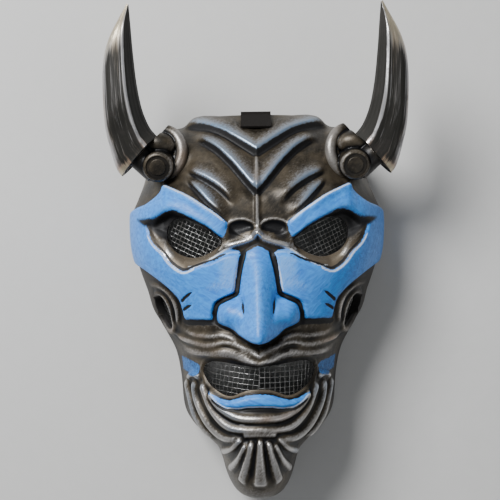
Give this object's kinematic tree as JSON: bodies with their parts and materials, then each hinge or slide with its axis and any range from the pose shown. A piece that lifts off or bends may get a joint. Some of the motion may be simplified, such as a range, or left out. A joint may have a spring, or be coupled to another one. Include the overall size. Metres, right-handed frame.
{
  "type": "horned face mask",
  "caption": "Full-face oni mask with a carved scowling face, swept horns, screened eyes, mouth and side vents, and a strap tab on the top rim.",
  "frame": {"origin": "middle of the whole mask's outline seen from the front, at the plane of its back rim", "axes": "+X the viewer's right when facing the mask, +Y from the chin to the horn tips, +Z out of the face"},
  "size_m": [0.2086, 0.344, 0.125],
  "materials": {
    "painted_resin": "dark bronze paint with silvered ridges and satin blue face panels",
    "silvered_horn": "silver paint brushed lengthwise over a dark coat",
    "screen_wire": "bare woven wire",
    "strap_webbing": "black woven webbing"
  },
  "bodies": {
    "root": {"mask_shell": "painted_resin", "horn_left": "silvered_horn", "horn_right": "silvered_horn", "eye_screen_left": "screen_wire", "eye_screen_right": "screen_wire", "mouth_screen": "screen_wire", "vent_screen_left": "screen_wire", "vent_screen_right": "screen_wire", "strap_tab": "strap_webbing"}
  },
  "joints": []
}
